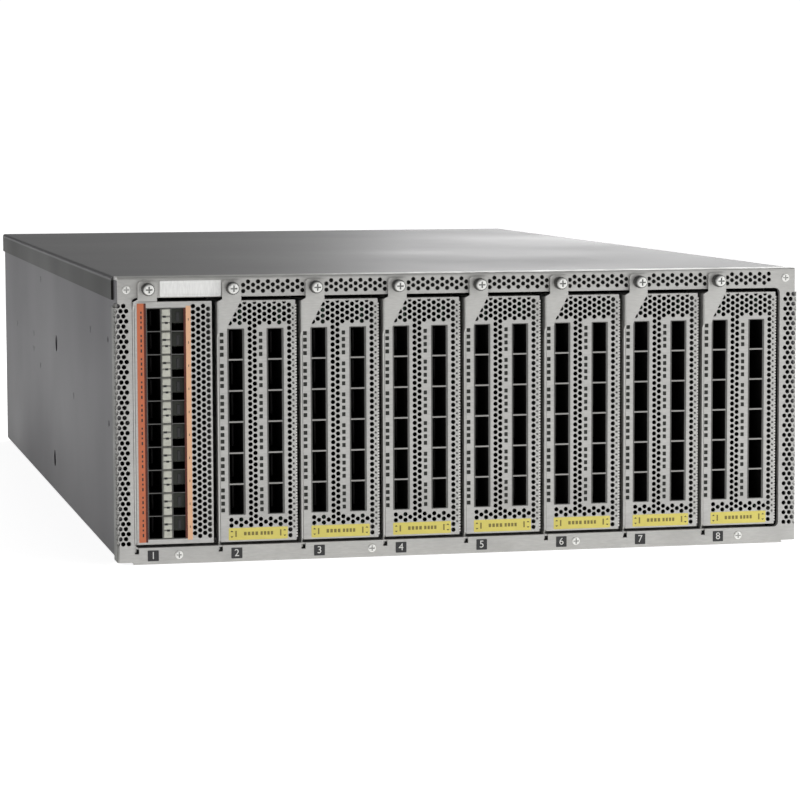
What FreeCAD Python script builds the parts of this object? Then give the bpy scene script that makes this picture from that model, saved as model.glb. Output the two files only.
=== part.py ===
"""Modular chassis switch: eight line modules in a four-rack-unit chassis.

Working frame of the functions: X across (0 = centre), Y back from the front frame's face, Z up from the base.
export() moves everything by Y_SHIFT so that the finished row is centred on Y = 0.
Slot coordinates: u runs from a slot's left edge, so X = slot_x(n) + u.
"""
import FreeCAD, Part
import math
import os

V = FreeCAD.Vector

# ---- chassis -------------------------------------------------------------------
WIDTH = 439.0            # over the side walls' skins
HEIGHT = 177.0           # four rack units less clearance
DEPTH = 762.0            # front frame's face to rear frame's face
SKIN = 1.5               # cover and front frame sheet
SHEET = 1.2              # tray, deck and bracket sheet
BEND = 1.5               # outer bend radius of folded sheet
BASE_STEP = 1.3          # side columns stop this far above the base pan
BASE_INSET = 9.5         # base pan is this much narrower on each side
COVER_FLANGE = 14.5      # cover's fold down each side
Y_SHIFT = -389.0         # centres the row on Y = 0
BRACKET_Y = 49.0
BRACKET_Z = (83.0, 136.0)
BRACKET_R = 2.1
RAIL_SLIDE_HOLES = ((355.0, 112.0), (375.5, 26.0))
RAIL_SLIDE_R = 6.0

# ---- front frame and slots --------------------------------------------------------
SLOTS = 8
SLOT_PITCH = 52.12
OPEN_X0 = -209.1         # left edge of the frame's opening
OPEN_X1 = OPEN_X0 + SLOT_PITCH * SLOTS
OPEN_Z0 = 10.4
OPEN_Z1 = 164.4
OPEN_CORNER = 3.0
FRAME_WRAP = 18.0        # depth of the frame's side and top returns
LIP = 4.0                # depth of the lip folded in around the opening
NOTCH_U = (0.1, 2.7)     # ejector notch in the lower rail
NOTCH_Z0 = 6.6

# ---- card guides -------------------------------------------------------------------
GUIDE_Y0 = 26.0
GUIDE_Y1 = 308.0
LOWER_GUIDE_Z = 10.2     # underside of the lower deck
UPPER_GUIDE_Z = 162.8    # underside of the upper deck
RIB_U = 49.9
RIB_HEIGHT = 5.6

# ---- line modules ------------------------------------------------------------------
FACE_Y = 0.5             # module face sits this far behind the frame's face
FACE_T = 1.2
FACE_U = (1.6, 49.3)
FACE_Z = (12.3, 161.9)
MODULE_DEPTH = 300.0
RETURN_DEPTH = 14.0
RUNNER = 8.0
CAGE_WALL = 0.5
CAGE_DEPTH = 58.0
BOARD_T = 1.6
PLUG_U = (22.0, 27.0)
PLUG_Z = (70.0, 110.0)
PLUG_Y = (292.0, 308.5)
MIDPLANE_Y = 311.0

QSFP_U = (7.5, 32.1)     # left edge of each port column's pockets
QSFP_W = 8.6
QSFP_H = 17.9
QSFP_PITCH = 19.3
QSFP_Z0 = 30.0           # lowest pocket's floor
QSFP_ROWS = 6
QSFP_TOP = QSFP_Z0 + QSFP_PITCH * (QSFP_ROWS - 1) + QSFP_H

SFP_U = (9.2, 24.3)
SFP_W = 8.2
SFP_H = 13.5
SFP_PITCH = 14.24
SFP_Z0 = 15.9
SFP_ROWS = 10
SFP_TOP = SFP_Z0 + SFP_PITCH * (SFP_ROWS - 1) + SFP_H

# ---- ejector lever and thumbscrew ------------------------------------------------------
LEVER_T = 1.0
BLADE_U0 = 0.3
PIVOT_Y = 9.0
PIVOT_Z = 18.0
PIVOT_BOSS = 4.6
PIN_R = 2.0
PLAY = 0.05              # radial play of a pin in its hole
PLATE_Y = -2.4           # front of the handle plate
SCREW_U = 9.3
SCREW_Z = 169.8
NECK_R = 2.3
GRIP_FLATS = 12
GRIP_R = 4.0
NUT_WINDOW = 5.0         # square hole of the floating nut behind the top rail
SCREW_END = -10.5

# ---- rear bays ----------------------------------------------------------------------
BAY_FACE = DEPTH + 1.0   # supplies and fan trays stand this proud of the rear frame
PSU_COUNT = 4
PSU_PITCH = 104.5
PSU_W = 101.5
PSU_Z = (2.4, 42.2)
PSU_Y0 = 441.0
DECK_Z = 44.0
LATCH_NOTCH = 8.0        # depth of the notch that takes the spring leaf
LATCH_LENGTH = 29.0
LATCH_T = 1.2
FAN_COUNT = 4
FAN_PITCH = 93.6
FAN_W = 91.4
FAN_X0 = -165.4          # left edge of the first fan bay
FAN_Z = (47.5, 171.5)
FAN_Y0 = 694.0
FAN_AXIS_Z = 118.0
DUCT_R = 39.5
FAN_R = 37.0             # to the middle of a blade's tip
DRUM_SIDES = 16          # round forms that repeat are many-sided, to keep the faces few
PIN_SIDES = 12
HUB_R = 17.0
BLADES = 5
FAN_BLADE_CHORD = 26.0
FAN_BLADE_PITCH = 40.0
HANDLE_END = 788.5       # rearmost point of the pull handles
HANDLE_T = 3.0
JACK_X = -189.0
JACK_Z = (66.0, 88.0, 110.0)
USB_Z = 134.0


# ---- outlines and solids ----------------------------------------------------------------
def in_xz(y):
    return lambda a, b: V(a, y, b)


def in_yz(x):
    return lambda a, b: V(x, a, b)


def in_xy(z):
    return lambda a, b: V(a, b, z)


def rounded_wire(points, place, closed=True):
    """Wire along (a, b) points; a third value rounds that corner with an arc of that radius."""
    corners = [(place(p[0], p[1]), p[2] if len(p) > 2 else 0) for p in points]
    count = len(corners)
    stretches = []
    for i, (here, radius) in enumerate(corners):
        if not radius:
            stretches.append((here, None, here))
            continue
        back = (corners[i - 1][0] - here).normalize()
        ahead = (corners[(i + 1) % count][0] - here).normalize()
        half = back.getAngle(ahead) / 2
        reach = radius / math.tan(half)
        middle = (back + ahead).normalize() * (radius / math.sin(half) - radius)
        stretches.append((here + back * reach, here + middle, here + ahead * reach))
    edges = []
    for i, (start, middle, end) in enumerate(stretches):
        if middle is not None:
            edges.append(Part.Arc(start, middle, end).toShape())
        following = stretches[(i + 1) % count][0]
        if (closed or i < count - 1) and end.distanceToPoint(following) > 1e-6:
            edges.append(Part.makeLine(end, following))
    return Part.Wire(edges)


def prism(points, place, along):
    return Part.Face(rounded_wire(points, place)).extrude(along)


def folded(points, place, thickness, along):
    """Bent sheet: an open profile with rounded corners, thickened to one side and extruded."""
    wire = rounded_wire(points, place, closed=False)
    return wire.makeOffset2D(thickness, 2, True, True).extrude(along)


def pierced_plate(outline, cutouts, y0, y1):
    """Flat sheet in XZ whose cutouts are pierced in one extrusion."""
    face = Part.Face(rounded_wire(outline, in_xz(y0)))
    holes = [Part.Face(rounded_wire(points, in_xz(y0))) for points in cutouts]
    pierced = face.cut(Part.makeCompound(holes))
    return pierced.Faces[0].extrude(V(0, y1 - y0, 0))


def box(x0, x1, y0, y1, z0, z1):
    return Part.makeBox(x1 - x0, y1 - y0, z1 - z0, V(x0, y0, z0))


def rod_x(y, z, r, x0, x1):
    return Part.makeCylinder(r, x1 - x0, V(x0, y, z), V(1, 0, 0))


def rod_y(x, z, r, y0, y1):
    return Part.makeCylinder(r, y1 - y0, V(x, y0, z), V(0, 1, 0))


def ring_points(x, z, radius, sides):
    """Corners of a regular outline, for round forms that need few faces."""
    turns = [2 * math.pi * i / sides for i in range(sides)]
    return [(x + radius * math.cos(a), z + radius * math.sin(a)) for a in turns]


def drum(x, z, radius, y0, y1, sides=DRUM_SIDES):
    """Many-sided bar along Y."""
    return prism(ring_points(x, z, radius, sides), in_xz(y0), V(0, y1 - y0, 0))


def drum_x(y, z, radius, x0, x1, sides=DRUM_SIDES):
    """Many-sided bar along X."""
    return prism(ring_points(y, z, radius, sides), in_yz(x0), V(x1 - x0, 0, 0))


def union(shapes):
    return shapes[0].fuse(shapes[1:]).removeSplitter()


def rect(x0, x1, z0, z1, radius=0):
    if radius:
        return [(x0, z0, radius), (x1, z0, radius), (x1, z1, radius), (x0, z1, radius)]
    return [(x0, z0), (x1, z0), (x1, z1), (x0, z1)]


def along_x(count, pitch, shape):
    return [shape.translated(V(i * pitch, 0, 0)) for i in range(count)]


def slot_x(number):
    return OPEN_X0 + SLOT_PITCH * (number - 1)


def psu_x(number):
    return PSU_PITCH * (number - 2.5)


def fan_x(number):
    return FAN_X0 + FAN_PITCH * (number - 0.5)


# ---- vent patterns: each long slot stands for a run of round holes ---------------------------
def slot_column(x, z0, z1, width=2.6, length=46.2, pitch=50.4):
    count = int((z1 - z0 - length) // pitch) + 1
    return [rect(x - width / 2, x + width / 2, z0 + i * pitch, z0 + i * pitch + length) for i in range(count)]


def slot_row(x0, z, count, width=17.0, height=2.6, pitch=18.7):
    return [rect(x0 + i * pitch, x0 + i * pitch + width, z - height / 2, z + height / 2) for i in range(count)]


# ---- chassis sheet metal ----------------------------------------------------------------------
def frame_blank():
    """Perforated front sheet with its side and top returns, bent round the chassis."""
    half = WIDTH / 2
    low = half - BASE_INSET
    outline = [(-half, BASE_STEP), (-low, BASE_STEP), (-low, 0), (low, 0), (low, BASE_STEP), (half, BASE_STEP)]
    outline += [(half, HEIGHT), (-half, HEIGHT)]
    vents = slot_column(-half + 4.4, 14.0, 161.0, 3.0)
    vents += slot_column(half - 5.4, 14.0, 161.0, 3.0)
    for number in range(2, SLOTS + 1):
        reach = 28.0 if number == SLOTS else 37.0
        x0 = slot_x(number) + 16.6
        vents.append(rect(x0, x0 + reach, 166.9, 173.7))
    plate = pierced_plate(outline, vents, 0, SKIN)
    top = box(-half, half, SKIN, FRAME_WRAP, HEIGHT - SKIN, HEIGHT)
    left = box(-half, -half + SKIN, SKIN, FRAME_WRAP, BASE_STEP, HEIGHT - SKIN)
    right = box(half - SKIN, half, SKIN, FRAME_WRAP, BASE_STEP, HEIGHT - SKIN)
    blank = union([plate, top, left, right])
    bends = [e for e in blank.Edges if is_front_bend(e, half)]
    return blank.makeChamfer(BEND / 2, bends)


def is_front_bend(edge, half):
    b = edge.BoundBox
    on_face = b.YMax < 0.01
    upright = b.ZLength > HEIGHT / 2 and abs(abs(b.XMin) - half) < 0.01
    across = b.XLength > WIDTH / 2 and b.ZMin > HEIGHT - 0.01
    return on_face and (upright or across)


def front_frame():
    lip = box(OPEN_X0 - SHEET, OPEN_X1 + SHEET, SKIN, LIP, OPEN_Z0 - SHEET, OPEN_Z1 + SHEET)
    frame = union([frame_blank(), lip])
    r = OPEN_CORNER
    corners = [(OPEN_X0, OPEN_Z0), (OPEN_X1, OPEN_Z0, r), (OPEN_X1, OPEN_Z1, r), (OPEN_X0, OPEN_Z1, r)]
    tools = [prism(corners, in_xz(-1), V(0, LIP + 2, 0))]
    notch = box(NOTCH_U[0], NOTCH_U[1], -1, LIP + 1, NOTCH_Z0, OPEN_Z0 + 1)
    tools += along_x(SLOTS, SLOT_PITCH, notch.translated(V(OPEN_X0, 0, 0)))
    x = OPEN_X0 + SCREW_U
    reach = NUT_WINDOW / 2
    window = box(x - reach, x + reach, -1, SKIN + 1, SCREW_Z - reach, SCREW_Z + reach)
    tools += along_x(SLOTS, SLOT_PITCH, window)
    return frame.cut(tools)


def badge_plate():
    x0 = slot_x(1)
    return prism(rect(x0 + 17.0, x0 + 55.2, 165.0, 174.8), in_xz(-0.7), V(0, 0.7, 0))


def base_tray():
    """Pan and both side walls from one folded sheet, with a step up to the walls' feet."""
    half = WIDTH / 2 - SKIN
    low = WIDTH / 2 - BASE_INSET
    rise = BASE_STEP
    profile = [(-half, HEIGHT - SKIN - 0.5), (-half, rise, BEND), (-low - 0.6, rise), (-low + 0.6, 0)]
    profile += [(-x, *rest) for x, *rest in reversed(profile)]
    tray = folded(profile, in_xz(SKIN), SHEET, V(0, DEPTH - SKIN, 0))
    tools = [box(-half, half, DEPTH - SKIN, DEPTH + 1, -1, 2 * SHEET + 0.4)]
    for side in (-1, 1):
        x0, x1 = sorted((side * (half + 1), side * (half - SHEET - 1)))
        tools += [rod_x(BRACKET_Y, z, BRACKET_R, x0, x1) for z in BRACKET_Z]
        tools += [drum_x(y, z, RAIL_SLIDE_R, x0, x1) for y, z in RAIL_SLIDE_HOLES]
    return tray.cut(tools)


def top_cover():
    half = WIDTH / 2
    foot = HEIGHT - COVER_FLANGE
    profile = [(-half, foot), (-half, HEIGHT, BEND + 0.3), (half, HEIGHT, BEND + 0.3), (half, foot)]
    start = FRAME_WRAP + 0.6
    return folded(profile, in_xz(start), -SKIN, V(0, DEPTH - start, 0))


def card_guide(legs_z, deck_z, rib_z0):
    """Folded deck with a leg at its front and back, and a rib strip between neighbouring modules."""
    x0 = OPEN_X0 + 0.5
    width = SLOT_PITCH * SLOTS
    profile = [(GUIDE_Y0, legs_z), (GUIDE_Y0, deck_z), (GUIDE_Y1, deck_z), (GUIDE_Y1, legs_z)]
    if legs_z > deck_z:
        profile.reverse()
    deck = folded(profile, in_yz(x0), SHEET, V(width, 0, 0))
    rib = box(OPEN_X0 + RIB_U, OPEN_X0 + RIB_U + SHEET, GUIDE_Y0, MODULE_DEPTH, rib_z0, rib_z0 + RIB_HEIGHT)
    return Part.makeCompound([deck] + along_x(SLOTS, SLOT_PITCH, rib))


def lower_card_guide():
    deck = LOWER_GUIDE_Z + SHEET
    return card_guide(SHEET, deck, deck)


def upper_card_guide():
    return card_guide(HEIGHT - SKIN, UPPER_GUIDE_Z, UPPER_GUIDE_Z - RIB_HEIGHT)


# ---- boards -------------------------------------------------------------------------------------
def socket(x0, x1, y0, y1, z0, z1, wall, floor):
    """Open shell round a plug; the mouth is at y0 and the floor is this thick at y1."""
    shell = box(x0 - wall, x1 + wall, y0, y1, z0 - wall, z1 + wall)
    return shell.cut(box(x0, x1, y0 - 1, y1 - floor, z0, z1))


def midplane():
    """Board with one shrouded socket for each module's plug."""
    board = box(-208.0, 207.0, MIDPLANE_Y, MIDPLANE_Y + 3.0, 13.0, 161.0)
    play = 0.3
    x = OPEN_X0
    first = socket(x + PLUG_U[0] - play, x + PLUG_U[1] + play, 302.5, MIDPLANE_Y,
                   PLUG_Z[0] - play, PLUG_Z[1] + play, 1.2, 1.5)
    return Part.makeCompound([board] + along_x(SLOTS, SLOT_PITCH, first))


def heat_sink(x, y):
    """Finned extrusion: a comb profile drawn along the airflow."""
    fins = 5
    pitch = 11.0
    base = 60.0
    tip = 82.0
    left = x - (fins - 1) * pitch / 2
    points = [(left - 1, 56.2), (left + (fins - 1) * pitch + 1, 56.2)]
    for i in reversed(range(fins)):
        fin = left + i * pitch
        points += [(fin + 1, base), (fin + 1, tip), (fin - 1, tip), (fin - 1, base)]
    points.pop(2)
    points.pop()
    return prism(points, in_xz(y - 30), V(0, 60, 0))


def hex_post(x, y, z0, z1):
    return prism(ring_points(x, y, 3.2, 6), in_xy(z0), V(0, 0, z1 - z0))


def main_board():
    board = box(-160.0, 200.0, 330.0, 676.0, 54.0, 56.2)
    posts = [hex_post(x, y, DECK_Z + SHEET, 54.0) for x in (-152, 190) for y in (342, 664)]
    sinks = [heat_sink(x, 480.0) for x in (-100.0, 20.0, 140.0)]
    return Part.makeCompound([board] + posts + sinks)


def power_board():
    """Upright board with a socket facing each supply's edge tongue."""
    solids = [box(-206.0, 206.0, 424.0, 426.0, 4.0, 41.0)]
    for number in range(1, PSU_COUNT + 1):
        x = psu_x(number)
        shell = box(x - 32, x + 32, 426.0, 438.0, 14.0, 24.0)
        solids.append(shell.cut(box(x - 30.3, x + 30.3, 430.0, 439.0, 17.7, 20.3)))
    return Part.makeCompound(solids)


def jack(x0, x1, z, mouth_x, mouth_z, y0, depth):
    shell = box(x0, x1, y0, DEPTH, z - mouth_z - 2.0, z + mouth_z + 2.0)
    mouth = box(JACK_X - mouth_x, JACK_X + mouth_x, DEPTH - depth, DEPTH + 1, z - mouth_z, z + mouth_z)
    return shell.cut(mouth)


def mgmt_board():
    """Upright board with three network jacks and a USB jack, mouths towards the rear."""
    solids = [box(JACK_X + 7.5, JACK_X + 7.5 + BOARD_T, 690.0, 756.0, 56.0, 146.0)]
    solids += [jack(JACK_X - 6.8, JACK_X + 7.4, z, 4.2, 5.9, 740.0, 14.0) for z in JACK_Z]
    solids.append(jack(JACK_X - 3.4, JACK_X + 7.4, USB_Z, 2.5, 6.3, 744.0, 12.0))
    return Part.makeCompound(solids)


# ---- rear ------------------------------------------------------------------------------------------
def rear_deck():
    """Shelf over the supply bays, and the separate wall plates that part the bays above and below it."""
    half = WIDTH / 2 - SKIN - SHEET
    back = DEPTH - SKIN
    shapes = [box(-half, half, 325.0, back, DECK_Z, DECK_Z + SHEET)]
    lower = box(-PSU_PITCH - SHEET / 2, -PSU_PITCH + SHEET / 2, 428.0, back, SHEET, DECK_Z)
    upper = box(FAN_X0 - SHEET / 2, FAN_X0 + SHEET / 2, 690.0, back, DECK_Z + SHEET, HEIGHT - SKIN)
    shapes += along_x(PSU_COUNT - 1, PSU_PITCH, lower)
    shapes += along_x(FAN_COUNT, FAN_PITCH, upper)
    return Part.makeCompound(shapes)


def rear_frame():
    half = WIDTH / 2 - SKIN - SHEET
    cutouts = []
    for number in range(1, PSU_COUNT + 1):
        x = psu_x(number)
        cutouts.append(rect(x - PSU_W / 2 - 0.7, x + PSU_W / 2 + 0.7, PSU_Z[0] - 0.6, PSU_Z[1] + 0.6))
    for number in range(1, FAN_COUNT + 1):
        x = fan_x(number)
        cutouts.append(rect(x - FAN_W / 2 - 0.4, x + FAN_W / 2 + 0.4, FAN_Z[0] - 0.6, FAN_Z[1] + 0.6))
    cutouts += [rect(JACK_X - 7.0, JACK_X + 7.6, z - 8.1, z + 8.1) for z in JACK_Z]
    cutouts.append(rect(JACK_X - 3.6, JACK_X + 7.6, USB_Z - 8.5, USB_Z + 8.5))
    cutouts += slot_row(JACK_X - 8.5, 155.0, 1) + slot_row(JACK_X - 8.5, 160.0, 1)
    return pierced_plate(rect(-half, half, SHEET, HEIGHT - SKIN), cutouts, DEPTH - SKIN, DEPTH)


def pull_handle(x0, x1, z0, z1):
    """Flat strap bent to a U that stands out of a rear face."""
    start = BAY_FACE - 0.5
    bend = 6.0
    profile = [(x0, start), (x0, HANDLE_END - bend), (x0 + bend, HANDLE_END), (x1 - bend, HANDLE_END)]
    profile += [(x1, HANDLE_END - bend), (x1, start)]
    return folded(profile, in_xy(z0), HANDLE_T, V(0, 0, z1 - z0))


def inlet_outline(x, z):
    """Power inlet recess with its two upper corners cut off."""
    return [(x - 13.2, z - 9.4), (x + 13.2, z - 9.4), (x + 13.2, z + 4.4), (x + 8.4, z + 9.4),
            (x - 8.4, z + 9.4), (x - 13.2, z + 4.4)]


def psu_body(number):
    x = psu_x(number)
    half = PSU_W / 2
    inlet_x = x - 33.8
    inlet_z = 17.2
    housing = box(x - half, x + half, PSU_Y0, BAY_FACE, PSU_Z[0], PSU_Z[1])
    tongue = box(x - 30, x + 30, 431.0, PSU_Y0, 18.0, 20.0)
    body = union([housing, tongue, pull_handle(x - 12.0, x + 32.0, 32.0, 40.0)])
    tools = [prism(inlet_outline(inlet_x, inlet_z), in_xz(BAY_FACE - 17.0), V(0, 18, 0))]
    tools.append(box(x + half - LATCH_NOTCH, x + half + 1, BAY_FACE - 30.0, BAY_FACE + 1, 12.0, 32.0))
    louvre = box(x - 14.0, x + 36.0, BAY_FACE - 6.0, BAY_FACE + 1, 5.4, 8.6)
    tools += [louvre.translated(V(0, 0, 5.0 * i)) for i in range(5)]
    body = body.cut(tools)
    pins = []
    for dx, dz in ((-7.0, -3.4), (0.0, 2.6), (7.0, -3.4)):
        px = inlet_x + dx
        pz = inlet_z + dz
        pins.append(box(px - 1.0, px + 1.0, BAY_FACE - 17.0, BAY_FACE - 5.0, pz - 2.4, pz + 2.4))
    return union([body] + pins)


def psu_latch(number):
    """Spring leaf riveted to the floor of the notch in the supply's right side, with a thumb tab."""
    floor = psu_x(number) + PSU_W / 2 - LATCH_NOTCH
    root = BAY_FACE - LATCH_LENGTH
    tip = BAY_FACE + 10.6
    profile = [(floor, root), (floor, root + 8.0), (floor + 6.6, root + 21.0), (floor + 6.6, tip), (floor, tip)]
    return folded(profile, in_xy(15.0), LATCH_T, V(0, 0, 14.0))


def fan_tray(number):
    """Open frame round a duct, with the motor mount on four arms across its rear."""
    x = fan_x(number)
    half = FAN_W / 2
    front = BAY_FACE - 42.0
    shell = box(x - half, x + half, FAN_Y0, BAY_FACE, FAN_Z[0], FAN_Z[1])
    tools = [drum(x, FAN_AXIS_Z, DUCT_R, front - 1, BAY_FACE + 1)]
    tools.append(box(x - half + SHEET, x + half - SHEET, FAN_Y0 - 1, front, FAN_Z[0] + SHEET, FAN_Z[1] - SHEET))
    tray = shell.cut(tools)
    mount = drum(x, FAN_AXIS_Z, HUB_R, BAY_FACE - 8.0, BAY_FACE)
    shaft = drum(x, FAN_AXIS_Z, PIN_R, BAY_FACE - 34.0, BAY_FACE - 8.0, PIN_SIDES)
    reach = DUCT_R + 1.5
    arms = [box(x - 2.5, x + 2.5, BAY_FACE - 4.0, BAY_FACE, FAN_AXIS_Z - reach, FAN_AXIS_Z + reach)]
    arms.append(box(x - reach, x + reach, BAY_FACE - 4.0, BAY_FACE, FAN_AXIS_Z - 2.5, FAN_AXIS_Z + 2.5))
    return union([tray, mount, shaft, pull_handle(x - 28.0, x + 28.0, 54.0, 62.0)] + arms)


def fan_blade(y):
    """One cambered, pitched blade that runs out from the hub to the tip."""
    half = FAN_BLADE_CHORD / 2
    skin = [(-half, -0.2), (0, 2.4), (half, -0.2), (half, 1.2), (0, 4.0), (-half, 1.2)]
    blade = prism(skin, in_yz(HUB_R - 2.0), V(FAN_R - HUB_R + 2.0, 0, 0))
    blade.rotate(V(0, 0, 0), V(1, 0, 0), FAN_BLADE_PITCH)
    return blade.translated(V(0, y, 0))


def fan_rotor(number):
    """Hub cup with pitched blades, bored for the tray's shaft."""
    y0 = BAY_FACE - 36.0
    y1 = BAY_FACE - 8.6
    blade = fan_blade((y0 + y1) / 2)
    blades = [blade.rotated(V(0, 0, 0), V(0, 1, 0), i * 360.0 / BLADES) for i in range(BLADES)]
    rotor = union([drum(0, 0, HUB_R, y0, y1)] + blades)
    rotor = rotor.cut(rod_y(0, 0, PIN_R + PLAY, y0 + 1.6, y1 + 1))
    return rotor.translated(V(fan_x(number), 0, FAN_AXIS_Z))


# ---- line modules -----------------------------------------------------------------------------------
def carrier(number, cutouts):
    """Pierced face folded into the side wall, with returns, two runners and the lever's pin."""
    x = slot_x(number)
    u0 = x + FACE_U[0]
    u1 = x + FACE_U[1]
    z0, z1 = FACE_Z
    front = FACE_Y + FACE_T
    back = FACE_Y + RETURN_DEPTH
    outline = [(u0, z0), (u1, z0), (u1, z1), (u0, z1)]
    face = pierced_plate(outline, cutouts, FACE_Y, front)
    shapes = [face]
    shapes.append(box(u0, u1, front, back, z1 - SHEET, z1))
    shapes.append(box(u0, u1, front, back, z0, z0 + SHEET))
    shapes.append(box(u1 - SHEET, u1, front, back, z0, z1))
    shapes.append(box(u0, u0 + SHEET, front, MODULE_DEPTH, z0, z1))
    shapes.append(box(u0, u0 + RUNNER, back, MODULE_DEPTH, z0, z0 + SHEET))
    shapes.append(box(u0, u0 + RUNNER, back, MODULE_DEPTH, z1 - SHEET, z1))
    body = union(shapes)
    bend = [e for e in body.Edges if abs(e.BoundBox.XMax - u0) < 0.01 and e.BoundBox.YMax < FACE_Y + 0.01]
    body = body.makeChamfer(0.8, bend)
    return union([body, drum_x(PIVOT_Y, PIVOT_Z, PIN_R, x + BLADE_U0, u0 + SHEET, PIN_SIDES)])


def qsfp_carrier(number):
    x = slot_x(number)
    edge = CAGE_WALL + 0.1
    cutouts = [rect(x + u - edge, x + u + QSFP_W + edge, QSFP_Z0 - edge, QSFP_TOP + edge) for u in QSFP_U]
    cutouts.append(rect(x + 19.2, x + 24.7, 30.0, 146.6))
    cutouts.append(rect(x + 44.0, x + 46.6, 15.0, 160.6))
    cutouts += [rect(x + 20.4, x + 41.4, z, z + 4.8) for z in (148.9, 155.2)]
    cutouts.append(rect(x + 8.0, x + 42.4, 22.9, 25.5))
    return carrier(number, cutouts)


def sfp_carrier(number):
    x = slot_x(number)
    edge = CAGE_WALL + 0.1
    cutouts = [rect(x + SFP_U[0] - edge, x + SFP_U[1] + SFP_W + edge, SFP_Z0 - edge, SFP_TOP + edge)]
    cutouts += [rect(x + u, x + u + 5.0, 15.6, 160.4) for u in (36.8, 43.0)]
    return carrier(number, cutouts)


def port_block(x, columns, width, z0, height, pitch, rows):
    """Ganged cages with a pocket per port, open at the module's face."""
    u0 = columns[0] - CAGE_WALL
    u1 = columns[-1] + width + CAGE_WALL
    top = z0 + pitch * (rows - 1) + height
    end = FACE_Y + CAGE_DEPTH
    block = box(x + u0, x + u1, FACE_Y, end, z0 - CAGE_WALL, top + CAGE_WALL)
    pockets = []
    for u in columns:
        pocket = box(x + u, x + u + width, FACE_Y - 1, end - 2.0, z0, z0 + height)
        pockets += [pocket.translated(V(0, 0, i * pitch)) for i in range(rows)]
    return block.cut(pockets)


def board(x, u):
    return box(x + u, x + u + BOARD_T, 16.0, PLUG_Y[0], 16.0, 157.0)


def plug(x):
    return box(x + PLUG_U[0], x + PLUG_U[1], PLUG_Y[0], PLUG_Y[1], PLUG_Z[0], PLUG_Z[1])


def qsfp_ports(number):
    """Two ganged cage columns, each on its own board, with a bridge to the rear plug."""
    x = slot_x(number)
    solids = []
    for u in QSFP_U:
        solids.append(port_block(x, (u,), QSFP_W, QSFP_Z0, QSFP_H, QSFP_PITCH, QSFP_ROWS))
        solids.append(board(x, u + QSFP_W + CAGE_WALL + 0.1))
    bridge_u = [u + QSFP_W + CAGE_WALL + 0.1 for u in QSFP_U]
    solids.append(box(x + bridge_u[0] + BOARD_T, x + bridge_u[1], 276.0, 280.0, 60.0, 120.0))
    solids.append(plug(x))
    return Part.makeCompound(solids)


def sfp_ports(number):
    """Stacked two by ten cage block with a light-pipe bar between its columns."""
    x = slot_x(number)
    block = port_block(x, SFP_U, SFP_W, SFP_Z0, SFP_H, SFP_PITCH, SFP_ROWS)
    block = block.cut(box(x + 17.7, x + 23.9, FACE_Y - 1, FACE_Y + 1.8, SFP_Z0 - 1, SFP_TOP + 1))
    bar = box(x + 17.8, x + 23.8, FACE_Y - 0.3, FACE_Y + 1.7, SFP_Z0 - 0.4, SFP_TOP + 0.4)
    board_u = SFP_U[1] + SFP_W + CAGE_WALL + 0.1
    bridge = box(x + PLUG_U[1] + 0.1, x + board_u, 286.0, 290.0, 72.0, 108.0)
    return Part.makeCompound([block, bar, board(x, board_u), bridge, plug(x)])


# ---- ejector lever and thumbscrew -----------------------------------------------------------------------
def handle_outline(x, funnel):
    """Front outline of the handle plate: an ear over the rail and, on most modules, a funnel below it."""
    ear = [(15.1, 173.3), (13.9, 174.5), (4.5, 174.5), (3.3, 173.3)]
    if funnel:
        points = [(0.3, 142.4), (5.6, 142.4), (6.6, 146.6), (15.1, 162.2)] + ear
        points += [(3.3, 163.0), (0.3, 161.4)]
    else:
        points = [(0.3, 160.2), (2.2, 160.2), (3.6, 162.3), (15.1, 162.3)] + ear
        points += [(3.3, 163.6), (0.3, 162.0)]
    return [(x + u, *rest) for u, *rest in points]


def lever(number):
    """Bent sheet: cam toe at the foot, boss round the pivot, long blade, handle plate across the top."""
    x = slot_x(number) + BLADE_U0
    funnel = number > 1
    fold = 142.4 if funnel else 160.2
    top = 161.4 if funnel else 162.0
    side = [(2.4, 7.4), (6.4, 7.4), (7.6, 13.0), (PIVOT_Y + PIVOT_BOSS - 2.4, 13.0)]
    side += [(PIVOT_Y + PIVOT_BOSS, 15.4), (PIVOT_Y + PIVOT_BOSS, 20.6), (9.4, 25.0), (7.4, 34.0), (7.4, top)]
    side += [(PLATE_Y, top), (PLATE_Y, fold), (0.2, fold - 3), (0.2, 13.5), (2.4, 11.0)]
    blade = prism(side, in_yz(x), V(LEVER_T, 0, 0))
    plate = prism(handle_outline(slot_x(number), funnel), in_xz(PLATE_Y), V(0, LEVER_T, 0))
    shape = union([blade, plate])
    bend = [e for e in shape.Edges if abs(e.BoundBox.XMax - x) < 0.01 and e.BoundBox.YMax < PLATE_Y + 0.01]
    shape = shape.makeChamfer(0.7, bend)
    pin_hole = rod_x(PIVOT_Y, PIVOT_Z, PIN_R + PLAY, x - 1, x + 3)
    reach = NECK_R + PLAY
    u = slot_x(number) + SCREW_U
    neck_hole = box(u - reach, u + reach, PLATE_Y - 1, PLATE_Y + 2, SCREW_Z - reach, SCREW_Z + reach)
    return shape.cut([pin_hole, neck_hole])


def thumbscrew(number):
    """Captive screw: grip with flats all round, and a plain shank through the ear into the rail."""
    x = slot_x(number) + SCREW_U
    seat = PLATE_Y - 0.1
    grip = ring_points(x, SCREW_Z, GRIP_R, GRIP_FLATS)
    head = prism(grip, in_xz(SCREW_END), V(0, seat - SCREW_END, 0))
    return union([head, rod_y(x, SCREW_Z, NECK_R, seat, 3.0)])


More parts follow.
